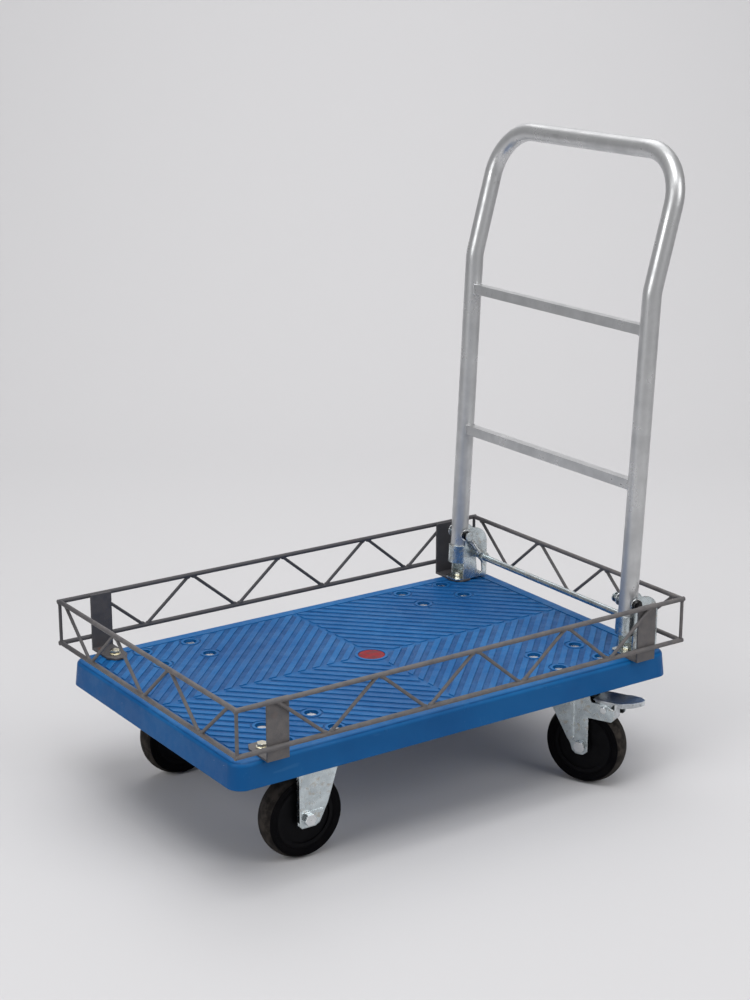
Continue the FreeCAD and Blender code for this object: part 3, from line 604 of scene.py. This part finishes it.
def makePlated(name):
    look = platedLook[name]
    roughness = look["roughness"]
    material, tree, shader, place = startFinish(name, roughness, metallic=1.0)
    tone = effect(tree, "patchTone", place, Size=46.0, Low=0.30, High=0.70)["Mask"]
    colour = blendColour(tree, tone, look["clean"], look["tint"])
    bloom = effect(tree, "patchTone", place, Size=120.0, Low=0.52, High=0.70)["Mask"]
    stained = mathOf(tree, "MULTIPLY", bloom, look["stained"])
    colour = blendColour(tree, stained, colour, look["stain"])
    wear = effect(tree, "edgeWear", place, Amount=0.6)
    colour = blendColour(tree, wear["Mask"], colour, rubbedLook["bright"])
    feed(tree, shader.inputs["Base Color"], colour)
    smooth = roughness - rubbedLook["smoother"]
    rough = ramp(tree, bloom, 0.0, 1.0, smooth, roughness + rubbedLook["rougher"])
    feed(tree, shader.inputs["Roughness"], rough)
    grain = effect(tree, "fineGrain", place, Size=420.0, Depth=look["grain"], Normal=wear["Normal"])
    feed(tree, shader.inputs["Normal"], grain["Normal"])
    return material


tyreLook = {
    "side": (0.0016, 0.0015, 0.0024, 1),
    "worn": (0.0036, 0.0033, 0.0038, 1),
    "dusty": (0.060, 0.052, 0.046, 1),
    "ringRadii": (0.0475, 0.0555),  # moulded rings on the side of the tyre
    "ringWide": 0.0007,
    "ringHigh": 0.0008,
    "treadEdge": (0.75, 0.3),
    "treadDirt": (0.25, 0.8),
    "rough": (0.48, 0.85),
}


def distanceFromAxle(tree, place, centre, axle):
    offset = tree.nodes.new("ShaderNodeVectorMath")
    offset.operation = "SUBTRACT"
    tree.links.new(place, offset.inputs[0])
    offset.inputs[1].default_value = centre
    cross = tree.nodes.new("ShaderNodeVectorMath")
    cross.operation = "CROSS_PRODUCT"
    tree.links.new(offset.outputs["Vector"], cross.inputs[0])
    cross.inputs[1].default_value = axle
    length = tree.nodes.new("ShaderNodeVectorMath")
    length.operation = "LENGTH"
    tree.links.new(cross.outputs["Vector"], length.inputs[0])
    return length.outputs["Value"]


def facingAxle(tree, axle):
    coordinate = tree.nodes.new("ShaderNodeTexCoord")
    dot = tree.nodes.new("ShaderNodeVectorMath")
    dot.operation = "DOT_PRODUCT"
    tree.links.new(coordinate.outputs["Normal"], dot.inputs[0])
    dot.inputs[1].default_value = axle
    return mathOf(tree, "ABSOLUTE", dot.outputs["Value"])


def makeTyreBlack(name, node, axle):
    material, tree, shader, place = startFinish(name, roughness=0.6, specular=0.04)
    tone = effect(tree, "patchTone", place, Size=50.0, Low=0.35, High=0.7)["Mask"]
    colour = blendColour(tree, tone, tyreLook["side"], tyreLook["worn"])
    tread = ramp(tree, facingAxle(tree, axle), *tyreLook["treadEdge"])
    dirt = effect(tree, "patchTone", place, Size=90.0, Low=0.30, High=0.72)["Mask"]
    dirt = ramp(tree, dirt, 0.0, 1.0, *tyreLook["treadDirt"])
    tread = mathOf(tree, "MULTIPLY", tread, dirt)
    colour = blendColour(tree, tread, colour, tyreLook["dusty"])
    feed(tree, shader.inputs["Base Color"], colour)
    feed(tree, shader.inputs["Roughness"], ramp(tree, tread, 0.0, 1.0, *tyreLook["rough"]))
    radius = distanceFromAxle(tree, place, boxMiddle(node), axle)
    rings = None
    for ringRadius in tyreLook["ringRadii"]:
        away = mathOf(tree, "ABSOLUTE", mathOf(tree, "SUBTRACT", radius, ringRadius))
        ring = ramp(tree, away, tyreLook["ringWide"], 0.0)
        rings = ring if rings is None else mathOf(tree, "MAXIMUM", rings, ring)
    moulded = tree.nodes.new("ShaderNodeBump")
    moulded.inputs["Distance"].default_value = tyreLook["ringHigh"]
    tree.links.new(rings, moulded.inputs["Height"])
    grain = effect(tree, "fineGrain", place, Size=600.0, Depth=0.35, Normal=moulded.outputs["Normal"])
    feed(tree, shader.inputs["Normal"], grain["Normal"])
    return material


mouldedLook = {
    "deep": (0.0016, 0.0016, 0.0024, 1),
    "worn": (0.0042, 0.0042, 0.0050, 1),
    "dusty": (0.04, 0.038, 0.037, 1),
    "smoother": 0.06,
    "rougher": 0.10,
}


def makeMouldedBlack(name, roughness, specular):
    material, tree, shader, place = startFinish(name, roughness, specular=specular)
    tone = effect(tree, "patchTone", place, Size=80.0, Low=0.35, High=0.7)["Mask"]
    colour = blendColour(tree, tone, mouldedLook["deep"], mouldedLook["worn"])
    dust = effect(tree, "dust", place, Amount=0.15)["Mask"]
    colour = blendColour(tree, dust, colour, mouldedLook["dusty"])
    feed(tree, shader.inputs["Base Color"], colour)
    smooth = roughness - mouldedLook["smoother"]
    rough = ramp(tree, tone, 0.0, 1.0, smooth, roughness + mouldedLook["rougher"])
    feed(tree, shader.inputs["Roughness"], rough)
    grain = effect(tree, "fineGrain", place, Size=800.0, Depth=0.2)
    feed(tree, shader.inputs["Normal"], grain["Normal"])
    return material


finishes = {
    "deck_blue": makeDeckBlue(),
    "disc_red": makeDiscRed(),
    "rail_grey": makeRailGrey(),
    "handle_silver": makeHandleSilver(),
    "zinc_plate": makePlated("zincPlate"),
    "fastener_zinc": makePlated("fastenerZinc"),
    "bolt_yellow_zinc": makePlated("boltYellowZinc"),
    "spring_steel": makePlated("springSteel"),
    "pedal_zinc": makePlated("pedalZinc"),
    "cap_black": makeMouldedBlack("capBlack", roughness=0.28, specular=0.5),
    "hub_black": makeMouldedBlack("hubBlack", roughness=0.50, specular=0.08),
}
swivelTurn = math.radians(25)  # of the swivel casters, as the CAD stands at rest
axles = {
    "fixed_tyre_left": (0, 1, 0),
    "fixed_tyre_right": (0, 1, 0),
    "swivel_tyre_left": (math.cos(swivelTurn), math.sin(swivelTurn), 0),
    "swivel_tyre_right": (-math.cos(swivelTurn), math.sin(swivelTurn), 0),
}


def finishPiece(piece, slot):
    piece.data.materials.clear()
    piece.data.materials.append(finishes[slot])


def joined(pieces, name):
    bpy.ops.object.select_all(action="DESELECT")
    for piece in pieces:
        piece.select_set(True)
    bpy.context.view_layer.objects.active = pieces[0]
    bpy.ops.object.join()
    bpy.ops.object.transform_apply(location=True, rotation=True, scale=True)
    whole = bpy.context.object
    whole.name = name
    return whole


springFacts = {
    "wire": 0.0006,
    "coil": 0.0036,
    "turns": 20,
    "steps": 16,
    "sides": 8,
    "eyeSteps": 28,
    "smoothing": math.radians(50),
    "gap": 0.0009,
    "clear": 0.0036,
}
upright = (math.radians(90), 0, 0)


def windCoil(first, last):
    bpy.ops.mesh.primitive_circle_add(vertices=springFacts["sides"], radius=springFacts["wire"],
                                      location=(springFacts["coil"], 0, first), rotation=upright)
    spring = bpy.context.object
    bpy.ops.object.transform_apply(location=True, rotation=True, scale=True)
    winding = spring.modifiers.new("winding", "SCREW")
    winding.axis = "Z"
    winding.iterations = springFacts["turns"]
    winding.screw_offset = (last - first) / springFacts["turns"]
    winding.steps = springFacts["steps"]
    winding.render_steps = springFacts["steps"]
    winding.use_merge_vertices = False
    bpy.ops.object.modifier_apply(modifier="winding")
    return spring


def addSpringEye(height, radius):
    bpy.ops.mesh.primitive_torus_add(major_radius=radius, minor_radius=springFacts["wire"],
                                     major_segments=springFacts["eyeSteps"],
                                     minor_segments=springFacts["sides"],
                                     location=(0, 0, height), rotation=upright)
    return bpy.context.object


def addSpringStub(near, far):
    bpy.ops.mesh.primitive_cylinder_add(vertices=springFacts["sides"], radius=springFacts["wire"],
                                        depth=abs(far - near) + springFacts["wire"],
                                        location=(springFacts["coil"], 0, (near + far) / 2))
    return bpy.context.object


def makeSpring(name):  # close coil between the pivot post and the release rod
    coil = springFacts["coil"]
    rod = boxMiddle("release_rod")
    pivot = boxMiddle("pivot_washers")
    start = Vector((pivot.x, boxMiddle(name).y, pivot.z))
    finish = Vector((rod.x, boxMiddle(name).y, rod.z))
    run = finish - start
    lowRing = boxSize("release_rod").z / 2 + springFacts["gap"]
    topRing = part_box(name)[1][2] - pivot.z - springFacts["wire"]
    first = topRing + springFacts["clear"]
    last = run.length - lowRing - springFacts["clear"]
    topEnd = math.sqrt(topRing ** 2 - coil ** 2)
    lowEnd = run.length - math.sqrt(lowRing ** 2 - coil ** 2)
    pieces = [windCoil(first, last), addSpringEye(0, topRing), addSpringEye(run.length, lowRing)]
    pieces += [addSpringStub(first, topEnd), addSpringStub(last, lowEnd)]
    spring = joined(pieces, name + "_coil")
    turn = Matrix.Rotation(math.atan2(run.x, run.z), 4, "Y")
    spring.data.transform(Matrix.Translation(start) @ turn)
    bpy.ops.object.shade_smooth_by_angle(angle=springFacts["smoothing"])
    finishPiece(spring, "spring_steel")
    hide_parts(name)
    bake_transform(spring)


weldFacts = {
    "long": 0.0052,
    "wide": 0.0030,
    "high": 0.0030,
    "vary": (0.85, 1.12),
    "steps": 16,
    "railRings": 8,
    "railBand": 0.006,
    "endBand": 0.003,
    "ring": 0.0016,
    "handleRings": 10,
    "edgeSpread": 1.3,
    "crossbar": 0.015,
    "saddle": 0.0016,
}


def wireEnds(name):  # the middle of the low end and the high end of each wire
    node = nodes[name]
    spots = {}
    for vertex in node.data.vertices:
        spot = node.matrix_world @ vertex.co
        spots.setdefault(tuple(round(c, 5) for c in spot), []).append(vertex.index)
    leader = list(range(len(node.data.vertices)))

    def leaderOf(item):
        while leader[item] != item:
            item = leader[item]
        return item

    for shared in spots.values():
        for item in shared[1:]:
            leader[leaderOf(item)] = leaderOf(shared[0])
    for edge in node.data.edges:
        leader[leaderOf(edge.vertices[0])] = leaderOf(edge.vertices[1])
    wires = {}
    for spot, shared in spots.items():
        wires.setdefault(leaderOf(shared[0]), []).append(Vector(spot))
    ends = []
    for points in wires.values():
        for level in (min(p.z for p in points), max(p.z for p in points)):
            near = [p for p in points if abs(p.z - level) < weldFacts["endBand"]]
            ends.append(sum(near, Vector()) / len(near))
    return ends


def addBead(rings, spot, turn=(0, 0, 0)):
    bpy.ops.mesh.primitive_uv_sphere_add(segments=weldFacts["steps"], ring_count=rings, radius=1,
                                         location=spot, rotation=turn)
    return bpy.context.object


def makeRailWelds():
    beads = []
    for name in ("rail_side_diagonals", "rail_end_diagonals", "rail_corner_posts"):
        for end in wireEnds(name):
            alongX = abs(end.y) > cartFacts["railY"] - weldFacts["railBand"]
            bead = addBead(weldFacts["railRings"], end)
            length = weldFacts["wide"] if name == "rail_corner_posts" else weldFacts["long"]
            size = (length, weldFacts["wide"], weldFacts["high"])
            stretch = [item * random.uniform(*weldFacts["vary"]) for item in size]
            bead.scale = stretch if alongX else (stretch[1], stretch[0], stretch[2])
            beads.append(bead)
    welds = joined(beads, "railWelds")
    bpy.ops.object.shade_smooth()
    finishPiece(welds, "rail_grey")
    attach(welds, "chassis")
    print("rail welds", len(beads))


def makeHandleWelds():  # a bead along each side of each square crossbar's two ends
    beads = []
    half = weldFacts["crossbar"] / 2
    thick = weldFacts["ring"]
    spread = thick * weldFacts["edgeSpread"]
    lean = cartFacts["lean"]
    along = Vector((math.sin(lean), 0, math.cos(lean)))
    forward = Vector((math.cos(lean), 0, -math.sin(lean)))
    for name in ("crossbar_lower", "crossbar_upper"):
        middle = boxMiddle(name)
        reach = boxSize(name).y / 2
        for side in (-1, 1):
            outward = Vector((0, side * reach, 0))
            inward = Vector((0, side * (reach - weldFacts["saddle"]), 0))
            for way in (-1, 1):
                beads.append((middle + forward * half * way + outward, (thick, thick, half + thick)))
                beads.append((middle + along * half * way + inward, (half + thick, spread, thick)))
    pieces = []
    for spot, size in beads:
        bead = addBead(weldFacts["handleRings"], spot, (0, lean, 0))
        bead.scale = size
        pieces.append(bead)
    welds = joined(pieces, "handleWelds")
    bpy.ops.object.shade_smooth()
    finishPiece(welds, "handle_silver")
    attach(welds, "handle")


def dressNodes():
    slots = {entry["node"]: entry["material_slot"] for entry in frame["record"]["subparts"]}
    for name, node in nodes.items():
        if name in axles:
            finish = makeTyreBlack(name + "_rubber", name, axles[name])
        else:
            finish = finishes[slots[name]]
        if not node.material_slots:
            node.data.materials.append(finish)
        for slot in node.material_slots:
            slot.material = finish


dressNodes()
print("finishes on every node")
makeSpring("release_spring_left")
makeSpring("release_spring_right")
print("springs wound")
makeRailWelds()
makeHandleWelds()
print("welds laid")
